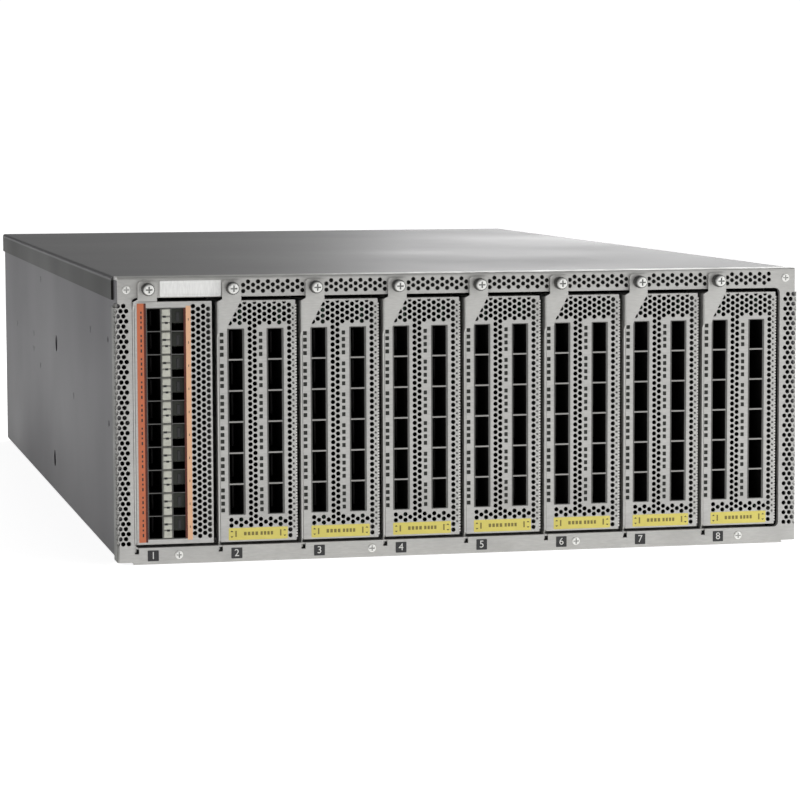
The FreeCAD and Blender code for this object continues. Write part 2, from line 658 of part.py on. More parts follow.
# ---- export -------------------------------------------------------------------------------------------
def nodes():
    parts = {
        "base_tray": base_tray(),
        "top_cover": top_cover(),
        "front_frame": front_frame(),
        "badge_plate": badge_plate(),
        "lower_card_guide": lower_card_guide(),
        "upper_card_guide": upper_card_guide(),
        "midplane": midplane(),
        "rear_deck": rear_deck(),
        "rear_frame": rear_frame(),
        "main_board": main_board(),
        "power_board": power_board(),
        "mgmt_board": mgmt_board(),
    }
    for number in range(1, SLOTS + 1):
        name = "module_%d_" % number
        parts[name + "carrier"] = sfp_carrier(number) if number == 1 else qsfp_carrier(number)
        parts[name + "ports"] = sfp_ports(number) if number == 1 else qsfp_ports(number)
        parts[name + "lever"] = lever(number)
        parts[name + "screw"] = thumbscrew(number)
    for number in range(1, PSU_COUNT + 1):
        parts["psu_%d_body" % number] = psu_body(number)
        parts["psu_%d_latch" % number] = psu_latch(number)
    for number in range(1, FAN_COUNT + 1):
        parts["fan_%d_tray" % number] = fan_tray(number)
        parts["fan_%d_rotor" % number] = fan_rotor(number)
    return parts


def export():
    os.makedirs("parts", exist_ok=True)
    for name, shape in nodes().items():
        shape.translate(V(0, Y_SHIFT, 0))
        shape.exportStep("parts/%s.step" % name)


export()
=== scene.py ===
import math
from itertools import product

import bmesh
import bpy
from mathutils import Matrix, Vector
from mathutils.geometry import delaunay_2d_cdt


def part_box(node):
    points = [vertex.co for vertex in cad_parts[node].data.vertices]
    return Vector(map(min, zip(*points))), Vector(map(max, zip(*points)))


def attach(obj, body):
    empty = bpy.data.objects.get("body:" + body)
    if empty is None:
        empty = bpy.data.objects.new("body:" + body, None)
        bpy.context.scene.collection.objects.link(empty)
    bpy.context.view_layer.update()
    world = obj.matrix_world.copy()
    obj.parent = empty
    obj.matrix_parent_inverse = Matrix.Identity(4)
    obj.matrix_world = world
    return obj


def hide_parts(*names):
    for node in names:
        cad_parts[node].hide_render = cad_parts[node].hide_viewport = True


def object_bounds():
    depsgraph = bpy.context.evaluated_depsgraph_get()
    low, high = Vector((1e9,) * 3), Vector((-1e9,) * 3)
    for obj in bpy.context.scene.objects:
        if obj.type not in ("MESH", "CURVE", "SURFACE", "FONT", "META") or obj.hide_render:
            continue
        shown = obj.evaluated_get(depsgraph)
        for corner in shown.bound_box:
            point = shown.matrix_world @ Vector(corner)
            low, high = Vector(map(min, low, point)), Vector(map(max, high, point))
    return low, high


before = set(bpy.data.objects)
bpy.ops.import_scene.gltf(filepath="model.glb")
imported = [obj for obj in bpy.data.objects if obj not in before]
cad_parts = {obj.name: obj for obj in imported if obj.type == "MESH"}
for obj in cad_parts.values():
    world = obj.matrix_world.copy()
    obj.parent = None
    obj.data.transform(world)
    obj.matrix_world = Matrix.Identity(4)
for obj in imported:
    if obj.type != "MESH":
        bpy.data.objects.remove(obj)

CAD_LO, CAD_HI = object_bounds()
MM = 0.001

# Every shape below is drawn in millimetres and scaled by MM when its mesh is made.
# u is measured from a slot's left edge, y back from the front frame's face, z up from the base.

# ---- places read from the frame ------------------------------------------------------
FRAME_LO, FRAME_HI = (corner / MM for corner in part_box("front_frame"))
HALF = FRAME_HI.x
TOP = FRAME_HI.z
FACE = FRAME_LO.y
WRAP = FRAME_HI.y - FACE
SLOTS = range(1, 9)
SLOT_X = {n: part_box("module_%d_carrier" % n)[0].x / MM - 0.3 for n in SLOTS}
PITCH = SLOT_X[2] - SLOT_X[1]
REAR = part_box("rear_frame")[1].y / MM
BAY = REAR + 1.0

# ---- front frame ----------------------------------------------------------------------
SKIN = 1.5
BEND = 1.5
QUARTER = BEND * math.pi / 2
BASE_STEP = 1.3
BASE_INSET = 9.5
OPEN_LEFT = SLOT_X[1]
OPEN_RIGHT = SLOT_X[1] + PITCH * 8
OPEN_LOW = 10.4
OPEN_HIGH = 164.4
FLANGE_TOP = 158.5
FRAME_SHEET = 1.2
NUT_HALF = 2.5
SCREW_U = 9.3
SCREW_Z = 169.8
HOLE_R = 1.40

# First inset, stagger of odd rows, pitch across, drop of the first row from the top, step down.
LEFT_COLUMN = (1.7, 1.7, 3.45, 17.35, 3.117)
RIGHT_COLUMN = (2.45, 1.85, 3.65, 16.7, 3.13)
COLUMN_ROWS = 48
RAIL_FIRST = 16.8
RAIL_PITCH = 3.09
RAIL_ROWS = ((171.5, 167.7), (173.5, 169.7))
RAIL_HOLE_R = 1.35
RAIL_COLUMNS = 13
RAIL_COLUMNS_LAST = 10
NUMBER_PLATE = (8.0, 14.9, 2.0, 8.7)
BADGE_OUTER = (17.0, 55.2, 165.0, 174.8)
BADGE_FIELD = (18.4, 53.8, 166.2, 173.6)

# ---- line modules -----------------------------------------------------------------------
FACE_U = (1.6, 49.3)
FACE_Z = (12.3, 161.9)
FACE_Y = 0.5
FACE_T = 1.2
MODULE_DEPTH = 300.0
QSFP_U = (7.5, 32.1)
QSFP_SIZE = (8.6, 17.9)
QSFP_Z0 = 29.6
QSFP_RIM = (0.85, 1.2)
QSFP_ROWS = 6
VENT_FIRST = 45.4
VENT_PITCH = 3.09
VENT_COLUMNS = 13
VENT_DROP = (18.22, 16.43)
VENT_STEP = 3.587
SMALL_HOLE_U = 47.9
SMALL_HOLE_R = 0.75
SMALL_HOLE_DROP = 20.01
WINDOW_U = ((2.0, 4.4), (26.4, 28.6))
WINDOW_DROP = 36.0
WINDOW_STEP = 4.13
WINDOW_HALF = 1.25
LABEL = (6.5, 43.7, 13.3, 20.9)
LABEL_MIDDLE = 17.2
QSFP_PITCH = 19.3
SFP_U = (9.2, 24.3)
SFP_SIZE = (8.2, 13.5)
SFP_Z0 = 15.9
SFP_PITCH = 14.24
SFP_ROWS = 10
SFP_VENT_FIRST = 37.7
SFP_VENT_PITCH = 3.13
SFP_VENT_DROP = (18.1, 19.9)
SFP_VENT_STEP = 3.6
SFP_HOLE_R = 1.42
CAGE_DEPTH = 58.0
CARD_FRONT = 16.0
CARD_BACK = 292.0


# ======================================================================================
# Mesh building
# ======================================================================================
class Shape:
    """Faces gathered in millimetres, each with the number of its material."""

    def __init__(self):
        self.points = []
        self.faces = []
        self.marks = []

    def add(self, points, faces, mark=0):
        first = len(self.points)
        self.points += [tuple(p) for p in points]
        self.faces += [tuple(first + i for i in face) for face in faces]
        self.marks += [mark] * len(faces)

    def mesh(self, name, materials, angle=40):
        mesh = bpy.data.meshes.new(name)
        mesh.from_pydata([(x * MM, y * MM, z * MM) for x, y, z in self.points], [], self.faces)
        mesh.polygons.foreach_set("material_index", self.marks)
        for material in materials:
            mesh.materials.append(material)
        work = bmesh.new()
        work.from_mesh(mesh)
        bmesh.ops.remove_doubles(work, verts=work.verts, dist=2e-6)
        bmesh.ops.recalc_face_normals(work, faces=work.faces)
        work.to_mesh(mesh)
        work.free()
        mesh.shade_smooth()
        mesh.set_sharp_from_angle(angle=math.radians(angle))
        return mesh


def put(name, mesh, body, replaces=(), at=(0.0, 0.0, 0.0)):
    """Piece that shows a mesh, rides on a body and may stand for CAD nodes."""
    piece = bpy.data.objects.new(name, mesh)
    piece.location = Vector(at) * MM
    bpy.context.scene.collection.objects.link(piece)
    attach(piece, body)
    if replaces:
        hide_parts(*replaces)
    return piece


def block(shape, x0, x1, y0, y1, z0, z1, bevel=0.25, mark=0):
    """Box with every edge and corner softened by a chamfer."""
    low = (x0, y0, z0)
    high = (x1, y1, z1)
    points = []
    index = {}
    for corner in product((0, 1), repeat=3):
        for axis in range(3):
            point = []
            for k in range(3):
                edge = high[k] if corner[k] else low[k]
                inward = -bevel if corner[k] else bevel
                point.append(edge if k == axis else edge + inward)
            index[corner, axis] = len(points)
            points.append(point)
    faces = []
    for axis in range(3):
        u, v = [k for k in range(3) if k != axis]
        for side in (0, 1):
            ring = []
            for cu, cv in ((0, 0), (1, 0), (1, 1), (0, 1)):
                corner = [side, side, side]
                corner[u] = cu
                corner[v] = cv
                ring.append(index[tuple(corner), axis])
            faces.append(ring)
        for cu, cv in product((0, 1), repeat=2):
            ends = []
            for w in (0, 1):
                corner = [w, w, w]
                corner[u] = cu
                corner[v] = cv
                ends.append(tuple(corner))
            a, b = ends
            faces.append((index[a, u], index[b, u], index[b, v], index[a, v]))
    faces += [(index[c, 0], index[c, 1], index[c, 2]) for c in product((0, 1), repeat=3)]
    shape.add(points, faces, mark)


def basis(axis):
    """Unit vectors of a turned form: two across it and one along it."""
    along = Vector([float(k == axis) for k in "xyz"])
    across = Vector((0.0, 0.0, 1.0)) if axis != "z" else Vector((1.0, 0.0, 0.0))
    return across, along.cross(across), along


def lathe(shape, centre, axis, profile, sides=20, mark=0, closed=False):
    """Turned form; the profile is (radius, distance along the axis from the centre)."""
    a, b, along = basis(axis)
    centre = Vector(centre)
    points = []
    for radius, run in profile:
        for i in range(sides):
            turn = 2 * math.pi * i / sides
            points.append(centre + along * run + (a * math.cos(turn) + b * math.sin(turn)) * radius)
    rows = len(profile) if closed else len(profile) - 1
    faces = []
    for row in range(rows):
        following = (row + 1) % len(profile)
        for i in range(sides):
            j = (i + 1) % sides
            faces.append((row * sides + i, row * sides + j, following * sides + j, following * sides + i))
    if not closed:
        faces.append(tuple(range(sides)))
        faces.append(tuple((len(profile) - 1) * sides + i for i in range(sides)))
    shape.add(points, faces, mark)


def wire_ring(shape, centre, axis, radius, wire, sides=40, mark=0):
    turns = [2 * math.pi * i / 8 for i in range(8)]
    profile = [(radius + wire * math.cos(a), wire * math.sin(a)) for a in turns]
    lathe(shape, centre, axis, profile, sides, mark, closed=True)


def rod(shape, start, end, radius, mark=0, sides=8):
    start = Vector(start)
    run = Vector(end) - start
    turn = Vector((0, 0, 1)).rotation_difference(run)
    points = []
    for height in (0.0, run.length):
        for i in range(sides):
            angle = 2 * math.pi * i / sides
            spoke = Vector((radius * math.cos(angle), radius * math.sin(angle), height))
            points.append(start + turn @ spoke)
    faces = [(i, (i + 1) % sides, sides + (i + 1) % sides, sides + i) for i in range(sides)]
    faces += [tuple(range(sides)), tuple(range(sides, 2 * sides))]
    shape.add(points, faces, mark)


def circle(a, b, radius, sides=12):
    turns = [2 * math.pi * (i + 0.5) / sides for i in range(sides)]
    return [(a + radius * math.cos(t), b + radius * math.sin(t)) for t in turns]


def rect(a0, a1, b0, b1, radius=0.0):
    """Counter-clockwise rectangle, with rounded corners where a radius is given."""
    if not radius:
        return [(a0, b0), (a1, b0), (a1, b1), (a0, b1)]
    points = []
    centres = ((a1 - radius, b0 + radius, -90), (a1 - radius, b1 - radius, 0),
               (a0 + radius, b1 - radius, 90), (a0 + radius, b0 + radius, 180))
    for ca, cb, start in centres:
        for step in range(4):
            turn = math.radians(start + 30 * step)
            points.append((ca + radius * math.cos(turn), cb + radius * math.sin(turn)))
    return points


def offset(loop, amount):
    """Loop moved outwards by the amount, or inwards where it is negative, with mitred corners."""
    moved = []
    for i, (a, b) in enumerate(loop):
        before = loop[i - 1]
        after = loop[(i + 1) % len(loop)]
        into = Vector((a - before[0], b - before[1])).normalized()
        out = Vector((after[0] - a, after[1] - b)).normalized()
        normal = Vector((into.y + out.y, -into.x - out.x))
        normal *= amount * 2 / max(normal.length_squared, 0.5)
        moved.append((a + normal.x, b + normal.y))
    return moved


def pierced(shape, outline, holes, place, thickness, bevel=0.1, creases=(), mark=0, wall=None, back=True):
    """Sheet with holes through it: softened front edges, walls, and a plain back.

    place(a, b, depth) gives the point of the sheet; creases are lines that its bends follow.
    """
    wall = mark if wall is None else wall
    loops = [outline] + list(holes)
    fronts = [offset(outline, -bevel)] + [offset(hole, bevel) for hole in holes]
    flat = []
    deep = []
    rings = []
    for front, loop in zip(fronts, loops):
        rings.append(list(range(len(flat), len(flat) + len(loop))))
        flat += [Vector(p) for p in front]
        deep += loop
    lines = []
    for start, end in creases:
        lines.append((len(flat), len(flat) + 1))
        flat += [Vector(start), Vector(end)]
        deep += [start, end]
    made, _, triangles, origin, _, inside = delaunay_2d_cdt(flat, lines, rings, 1, 1e-6)
    kept = [t for t, owners in zip(triangles, inside) if owners == [0]]
    lower = [deep[o[0]] if o else tuple(p) for p, o in zip(made, origin)]
    shape.add([place(p.x, p.y, 0.0) for p in made], kept, mark)
    if back:
        shape.add([place(a, b, thickness) for a, b in lower], kept, wall)
    for front, loop in zip(fronts, loops):
        count = len(loop)
        points = [place(a, b, 0.0) for a, b in front]
        points += [place(a, b, bevel) for a, b in loop]
        points += [place(a, b, thickness) for a, b in loop]
        for row, owner in ((0, mark), (1, wall)):
            faces = []
            for i in range(count):
                j = (i + 1) % count
                faces.append((row * count + i, row * count + j, (row + 1) * count + j, (row + 1) * count + i))
            shape.add(points, faces, owner)


def facing(y):
    """Place a sheet in the front plane, its depth running to the rear."""
    return lambda a, b, depth: (a, y + depth, b)


def cross_head(shape, x, z, y, radius, height, mark=0, recess_shade_mark=0, sides=24, towards=-1, reach=0.58):
    """Screw head with a cross recess; it stands out from y towards the front (-1) or rear (1). The recess
    walls and floor take a dark material: painted shade.
    """
    top = y + towards * height
    rim = radius * 0.82
    turns = [2 * math.pi * i / sides for i in range(sides)]
    rings = []
    for r, part in ((radius, 0.0), (radius, 0.55), (radius * 0.94, 0.85), (rim, 1.0)):
        rings.append([(x + r * math.cos(t), y + towards * height * part, z + r * math.sin(t)) for t in turns])
    for lower, upper in zip(rings, rings[1:]):
        faces = [(i, (i + 1) % sides, sides + (i + 1) % sides, sides + i) for i in range(sides)]
        shape.add(lower + upper, faces, mark)
    arm = radius * reach
    half = radius * 0.13
    plus = [(half, half), (half, arm), (-half, arm), (-half, half), (-arm, half), (-arm, -half),
            (-half, -half), (-half, -arm), (half, -arm), (half, -half), (arm, -half), (arm, half)]
    hole = [(x + p, z + q) for p, q in plus]
    outline = [(x + rim * math.cos(t), z + rim * math.sin(t)) for t in turns]
    depth = min(height * 0.8, radius * 0.5)
    pierced(shape, outline, [hole], lambda p, q, d: (p, top - towards * d, q), depth, 0.04,
            mark=mark, wall=recess_shade_mark)


# ======================================================================================
# Materials
# ======================================================================================
class Nodes:
    """Node tree of a material, with its shader and its object coordinates."""

    def __init__(self, name):
        self.material = bpy.data.materials.new(name)
        self.material.use_nodes = True
        self.tree = self.material.node_tree
        self.shader = self.tree.nodes["Principled BSDF"]
        self.coords = self.tree.nodes.new("ShaderNodeTexCoord").outputs["Object"]

    def link(self, source, target):
        self.tree.links.new(source, target)

    def noise(self, scale, detail=3.0, stretch=(1.0, 1.0, 1.0), roughness=0.5):
        mapping = self.tree.nodes.new("ShaderNodeMapping")
        mapping.inputs["Scale"].default_value = stretch
        node = self.tree.nodes.new("ShaderNodeTexNoise")
        node.inputs["Scale"].default_value = scale
        node.inputs["Detail"].default_value = detail
        node.inputs["Roughness"].default_value = roughness
        self.link(self.coords, mapping.inputs["Vector"])
        self.link(mapping.outputs["Vector"], node.inputs["Vector"])
        return node.outputs["Fac"]

    def ramp(self, value, stops):
        node = self.tree.nodes.new("ShaderNodeValToRGB")
        elements = node.color_ramp.elements
        while len(elements) < len(stops):
            elements.new(0.5)
        for element, (position, colour) in zip(elements, stops):
            element.position = position
            element.color = (*colour, 1.0)
        self.link(value, node.inputs["Fac"])
        return node.outputs["Color"]

    def map_range(self, value, low, high, to_low, to_high):
        node = self.tree.nodes.new("ShaderNodeMapRange")
        node.inputs["From Min"].default_value = low
        node.inputs["From Max"].default_value = high
        node.inputs["To Min"].default_value = to_low
        node.inputs["To Max"].default_value = to_high
        self.link(value, node.inputs["Value"])
        return node.outputs["Result"]

    def mix(self, factor, first, second):
        node = self.tree.nodes.new("ShaderNodeMix")
        node.data_type = "RGBA"
        self.link(factor, node.inputs["Factor"])
        for value, socket in ((first, node.inputs["A"]), (second, node.inputs["B"])):
            if isinstance(value, tuple):
                socket.default_value = (*value, 1.0)
            else:
                self.link(value, socket)
        return node.outputs["Result"]

    def bump(self, value, strength, distance):
        node = self.tree.nodes.new("ShaderNodeBump")
        node.inputs["Strength"].default_value = strength
        node.inputs["Distance"].default_value = distance
        self.link(value, node.inputs["Height"])
        self.link(node.outputs["Normal"], self.shader.inputs["Normal"])

    def separate(self):
        node = self.tree.nodes.new("ShaderNodeSeparateXYZ")
        self.link(self.coords, node.inputs["Vector"])
        return node.outputs

    def finish(self, colour, roughness, metallic=0.0, specular=0.5):
        self.link(colour, self.shader.inputs["Base Color"])
        self.link(roughness, self.shader.inputs["Roughness"])
        self.shader.inputs["Metallic"].default_value = metallic
        self.shader.inputs["Specular IOR Level"].default_value = specular
        return self.material


def shades(colour, spread):
    """Dark and light companions of a colour."""
    dark = tuple(c * (1 - spread) for c in colour)
    light = tuple(min(c * (1 + spread), 1.0) for c in colour)
    return dark, light


def painted_steel(name, colour, metallic=0.35, roughness=0.45, shade_band=None):
    """Sprayed grey finish: fine flake, orange-peel bump and slow drifts in tone. An optional shade band makes
    it darker and less reflective below a height: painted shade.
    """
    n = Nodes(name)
    dark, light = shades(colour, 0.10)
    flake = n.noise(2600.0, 2.0)
    drift = n.noise(5.0, 3.0)
    tone = n.ramp(flake, [(0.35, dark), (0.65, light)])
    dim, lit = shades(colour, 0.05)
    soft = n.ramp(drift, [(0.35, dim), (0.65, lit)])
    half = n.tree.nodes.new("ShaderNodeMix")
    half.data_type = "RGBA"
    half.inputs["Factor"].default_value = 0.5
    n.link(tone, half.inputs["A"])
    n.link(soft, half.inputs["B"])
    result = half.outputs["Result"]
    # Below the band the colour darkens and specular and metallic drop: painted shade.
    if shade_band:
        low, high, shade = shade_band
        above = n.map_range(n.separate()["Z"], low, high, 0.0, 1.0)
        result = n.mix(above, shade, result)
        n.link(n.map_range(above, 0.0, 1.0, 0.1, 0.5), n.shader.inputs["Specular IOR Level"])
        n.link(n.map_range(above, 0.0, 1.0, 0.0, metallic), n.shader.inputs["Metallic"])
    n.bump(n.noise(700.0, 2.0), 0.12, 0.0003)
    return n.finish(result, n.map_range(drift, 0.3, 0.7, roughness - 0.05, roughness + 0.05), metallic)


def rolled_steel(name, colour, metallic=0.8, roughness=0.4, stretch=(1.0, 1.0, 6.0), spread=0.07):
    """Bare or plated sheet: faint rolling lines, small blotches and fine scratches."""
    n = Nodes(name)
    dark, light = shades(colour, spread)
    lines = n.noise(220.0, 4.0, stretch)
    blotch = n.noise(45.0, 3.0)
    base = n.ramp(lines, [(0.3, dark), (0.7, light)])
    stain, _ = shades(colour, 2.2 * spread)
    result = n.mix(n.map_range(blotch, 0.52, 0.75, 0.0, 0.5), base, stain)
    n.bump(n.noise(900.0, 3.0, stretch), 0.10, 0.0002)
    return n.finish(result, n.map_range(blotch, 0.3, 0.7, roughness - 0.07, roughness + 0.08), metallic)


def moulded(name, colour, roughness=0.5, spread=0.15, specular=0.5):
    """Moulded plastic with a fine spark-eroded grain."""
    n = Nodes(name)
    dark, light = shades(colour, spread)
    grain = n.noise(1500.0, 2.0)
    tone = n.noise(60.0, 3.0)
    n.bump(grain, 0.15, 0.0002)
    return n.finish(n.ramp(tone, [(0.3, dark), (0.7, light)]),
                    n.map_range(grain, 0.3, 0.7, roughness - 0.06, roughness + 0.06), 0.0, specular)


def printed(name, colour, roughness=0.45, spread=0.05):
    """Printed label film with slight fading and a little dirt."""
    n = Nodes(name)
    dark, light = shades(colour, spread)
    fade = n.noise(90.0, 3.0)
    n.bump(n.noise(500.0, 2.0), 0.05, 0.0002)
    return n.finish(n.ramp(fade, [(0.3, dark), (0.7, light)]),
                    n.map_range(fade, 0.3, 0.7, roughness - 0.05, roughness + 0.08), 0.0, 0.4)


def circuit_board(name):
    """Solder mask over copper tracks, which show as slightly lighter lines."""
    n = Nodes(name)
    wave = n.tree.nodes.new("ShaderNodeTexWave")
    wave.bands_direction = "DIAGONAL"
    wave.inputs["Scale"].default_value = 130.0
    wave.inputs["Distortion"].default_value = 9.0
    wave.inputs["Detail"].default_value = 2.0
    n.link(n.coords, wave.inputs["Vector"])
    tracks = n.ramp(wave.outputs["Fac"], [(0.42, (0.006, 0.045, 0.018)), (0.6, (0.015, 0.10, 0.04))])
    n.bump(wave.outputs["Fac"], 0.15, 0.0001)
    return n.finish(tracks, n.map_range(n.noise(80.0), 0.3, 0.7, 0.3, 0.42), 0.0)


def light_pipe(name, colour):
    """Milky moulded light guide."""
    n = Nodes(name)
    dark, light = shades(colour, 0.08)
    cloud = n.noise(260.0, 3.0)
    n.bump(n.noise(900.0), 0.05, 0.0002)
    n.shader.inputs["Subsurface Weight"].default_value = 0.15
    n.shader.inputs["Subsurface Radius"].default_value = (0.002, 0.002, 0.0018)
    n.shader.inputs["Subsurface Scale"].default_value = 0.5
    tone = n.ramp(cloud, [(0.35, dark), (0.65, light)])
    return n.finish(tone, n.map_range(cloud, 0.3, 0.7, 0.25, 0.4), 0.0)


# Body paint darker and less reflective towards the foot of the walls: painted shade.
PAINT_SHADED_FOOT = painted_steel("body_paint_shaded_foot", (0.088, 0.086, 0.094), 0.15, 0.52, (-0.03, 0.10, (0.055, 0.053, 0.056)))
# Cover paint darker and less reflective on its flanges, from 3 mm under the top down: painted shade on the
# cover's sides.
COVER_SHADED_FLANGE = painted_steel("cover_paint_shaded_flange", (0.175, 0.173, 0.177), 0.40, 0.48,
                      ((TOP - 3.0) * MM, (TOP - 1.0) * MM, (0.028, 0.029, 0.027)))
# Darker steel for the front frame's side returns: painted shade.
FLANGE_SHADE = rolled_steel("frame_flange_painted_shade", (0.17, 0.172, 0.155), 0.2, 0.5)
SILVER = rolled_steel("frame_steel", (0.52, 0.515, 0.498), 0.5, 0.42)
MODULE = rolled_steel("module_steel", (0.52, 0.515, 0.498), 0.5, 0.40)
BADGE = rolled_steel("badge_steel", (0.90, 0.90, 0.885), 0.45, 0.38, (6.0, 1.0, 1.0))
LEVER = rolled_steel("lever_steel", (0.56, 0.555, 0.535), 0.5, 0.38)
NICKEL = rolled_steel("screw_nickel", (0.74, 0.73, 0.70), 0.8, 0.28, (1.0, 1.0, 1.0), 0.05)
HEAD = rolled_steel("screw_head", (0.92, 0.92, 0.89), 0.3, 0.35, (1.0, 1.0, 1.0), 0.04)
# Dark steel as painted shade: the thumbscrew barrels, and the cross recesses of the rear and fan screws.
KNURL_SHADE = rolled_steel("knurled_steel_painted_shade", (0.12, 0.12, 0.115), 0.7, 0.45, (1.0, 1.0, 1.0), 0.12)
# Near-black steel for the upper card guide, where the lower guide is plain: painted shade behind the top
# rail.
GUIDE_SHADE = rolled_steel("upper_guide_painted_shade", (0.045, 0.045, 0.043), 0.4, 0.5)
PLAIN = rolled_steel("plain_steel", (0.42, 0.42, 0.41), 0.75, 0.40)
CAGE = rolled_steel("cage_steel", (0.34, 0.335, 0.32), 0.7, 0.35, (1.0, 1.0, 1.0), 0.05)
# Darker copy of the cage steel for the port rims: painted shade.
CAGE_RIM_SHADE = rolled_steel("cage_rim_painted_shade", (0.13, 0.13, 0.125), 0.6, 0.4, (1.0, 1.0, 1.0), 0.08)
# Near-black for the inside of the cages: painted shade on the pocket walls, and the colour of the connector
# blocks.
CAGE_INSIDE_SHADE_AND_CONNECTORS = moulded("cage_inside", (0.010, 0.009, 0.009), 0.6, 0.3, 0.2)
CAGE_GREEN = moulded("cage_inside_green", (0.030, 0.033, 0.026), 0.55, 0.3, 0.3)
# Black plastic; it also darkens the thumbscrew's cross recess as painted shade.
BLACK_AND_RECESS_SHADE = moulded("black_plastic_and_recess_shade", (0.018, 0.018, 0.019), 0.45)
WINDOW = moulded("indicator_window", (0.022, 0.024, 0.020), 0.4, 0.2, 0.3)
GREEN = circuit_board("circuit_board")
GOLD = rolled_steel("contact_gold", (0.75, 0.53, 0.20), 0.9, 0.3, (1.0, 1.0, 1.0), 0.05)
YELLOW = printed("yellow_label", (0.76, 0.66, 0.16))
OLIVE = printed("olive_print", (0.22, 0.18, 0.05))
ORANGE = printed("orange_label", (0.62, 0.17, 0.075))
# Dark red for label edges: painted shade.
MAROON_SHADE = printed("label_edge_painted_shade", (0.10, 0.020, 0.012))
PEACH = printed("peach_label", (0.85, 0.50, 0.30))
INK = printed("dark_print", (0.035, 0.030, 0.028))
DIGIT = printed("light_print", (0.72, 0.72, 0.70))
# Number plate plastic; it also darkens the frame screws' cross recesses as painted shade.
PLATE_AND_RECESS_SHADE = moulded("number_plate_and_recess_shade", (0.022, 0.022, 0.024), 0.4)
PIPE = light_pipe("light_pipe", (0.56, 0.56, 0.49))
# Darker copy of the light pipe for the bar under its blocks: painted shade.
PIPE_BASE_SHADE = light_pipe("light_pipe_base_painted_shade", (0.20, 0.20, 0.18))
ALUMINIUM = rolled_steel("supply_steel", (0.50, 0.50, 0.50), 0.75, 0.38, (6.0, 1.0, 1.0))
TAB = moulded("release_tab", (0.30, 0.05, 0.03), 0.4)


# ======================================================================================
# Front frame
# ======================================================================================
def bend_run(run, depth):
    """Distance along a bend's outer skin to the steps outwards and backwards from its start."""
    if run < QUARTER:
        turn = run / BEND
        return (BEND - depth) * math.sin(turn), BEND - (BEND - depth) * math.cos(turn)
    return BEND - depth, BEND + run - QUARTER


def bent(a, b, depth):
    """Point of the front frame's flat pattern, bent round the chassis."""
    flat = HALF - BEND
    if abs(a) > flat:
        out, back = bend_run(abs(a) - flat, depth)
        return math.copysign(flat + out, a), FACE + back, b
    if b > TOP - BEND:
        up, back = bend_run(b - (TOP - BEND), depth)
        return a, FACE + back, TOP - BEND + up
    return a, FACE + depth, b


def opening_outline():
    """Card opening with an ejector notch at the foot of each slot, and two rounded corners."""
    points = []
    for n in SLOTS:
        x = SLOT_X[n]
        if n == 1:
            points += [(x, OPEN_LOW), (x + 0.1, OPEN_LOW)]
        else:
            points.append((x + 0.1, OPEN_LOW))
        points += [(x + 0.1, 6.6), (x + 2.7, 6.6), (x + 2.7, OPEN_LOW)]
    corners = rect(OPEN_LEFT, OPEN_RIGHT, OPEN_LOW, OPEN_HIGH, 3.0)
    return points + corners[:8] + [(OPEN_LEFT, OPEN_HIGH)]


def column_holes():
    """Staggered holes of both side columns, which run round the bends on to the flanges."""
    holes = []
    for row in range(COLUMN_ROWS):
        odd = row % 2
        for k in range(-2, 2):
            for side, column in ((-1, LEFT_COLUMN), (1, RIGHT_COLUMN)):
                first, stagger, pitch, drop, step = column
                inset = first + stagger * odd + pitch * k
                holes.append(circle(side * (HALF - inset), TOP - drop - step * row, HOLE_R))
    return holes


def rail_holes():
    """Rows of staggered holes over the slots that have no badge."""
    holes = []
    for n in SLOTS:
        if n == 1:
            continue
        for k in range(RAIL_COLUMNS_LAST if n == 8 else RAIL_COLUMNS):
            u = SLOT_X[n] + RAIL_FIRST + RAIL_PITCH * k
            holes += [circle(u, z, RAIL_HOLE_R) for z in RAIL_ROWS[k % 2]]
    return holes


def front_skin(shape):
    flat = HALF - BEND
    side = flat + QUARTER + WRAP - BEND
    top = TOP - BEND + QUARTER + WRAP - BEND
    low = HALF - BASE_INSET
    outline = [(-side, BASE_STEP), (-low, BASE_STEP), (-low, 0.0)]
    outline += [(low, 0.0), (low, BASE_STEP), (side, BASE_STEP)]
    outline += [(side, FLANGE_TOP), (flat, FLANGE_TOP), (flat, top), (-flat, top)]
    outline += [(-flat, FLANGE_TOP), (-side, FLANGE_TOP)]
    creases = []
    for step in range(6):
        run = QUARTER * step / 5
        for sign in (-1, 1):
            a = sign * (flat + run)
            creases.append(((a, BASE_STEP + 0.11), (a, FLANGE_TOP - 0.11)))
        b = TOP - BEND + run
        creases.append(((-flat + 0.11, b), (flat - 0.11, b)))
    windows = []
    for x in SLOT_X.values():
        u = x + SCREW_U
        windows.append(rect(u - NUT_HALF, u + NUT_HALF, SCREW_Z - NUT_HALF, SCREW_Z + NUT_HALF))
    holes = [opening_outline()] + column_holes() + rail_holes() + windows
    pierced(shape, outline, holes, bent, FRAME_SHEET, 0.1, creases)
    # Faces of the side returns behind the front take the darker flange steel: painted shade.
    for i, face in enumerate(shape.faces):
        if all(abs(shape.points[p][0]) > HALF - 0.7 and shape.points[p][1] > FACE + 0.6 for p in face):
            shape.marks[i] = 4


def number_plates(shape):
    u0, u1, z0, z1 = NUMBER_PLATE
    for x in SLOT_X.values():
        outline = rect(x + u0, x + u1, z0, z1, 0.4)
        pierced(shape, outline, [], facing(FACE - 0.2), 0.25, 0.08, mark=2)


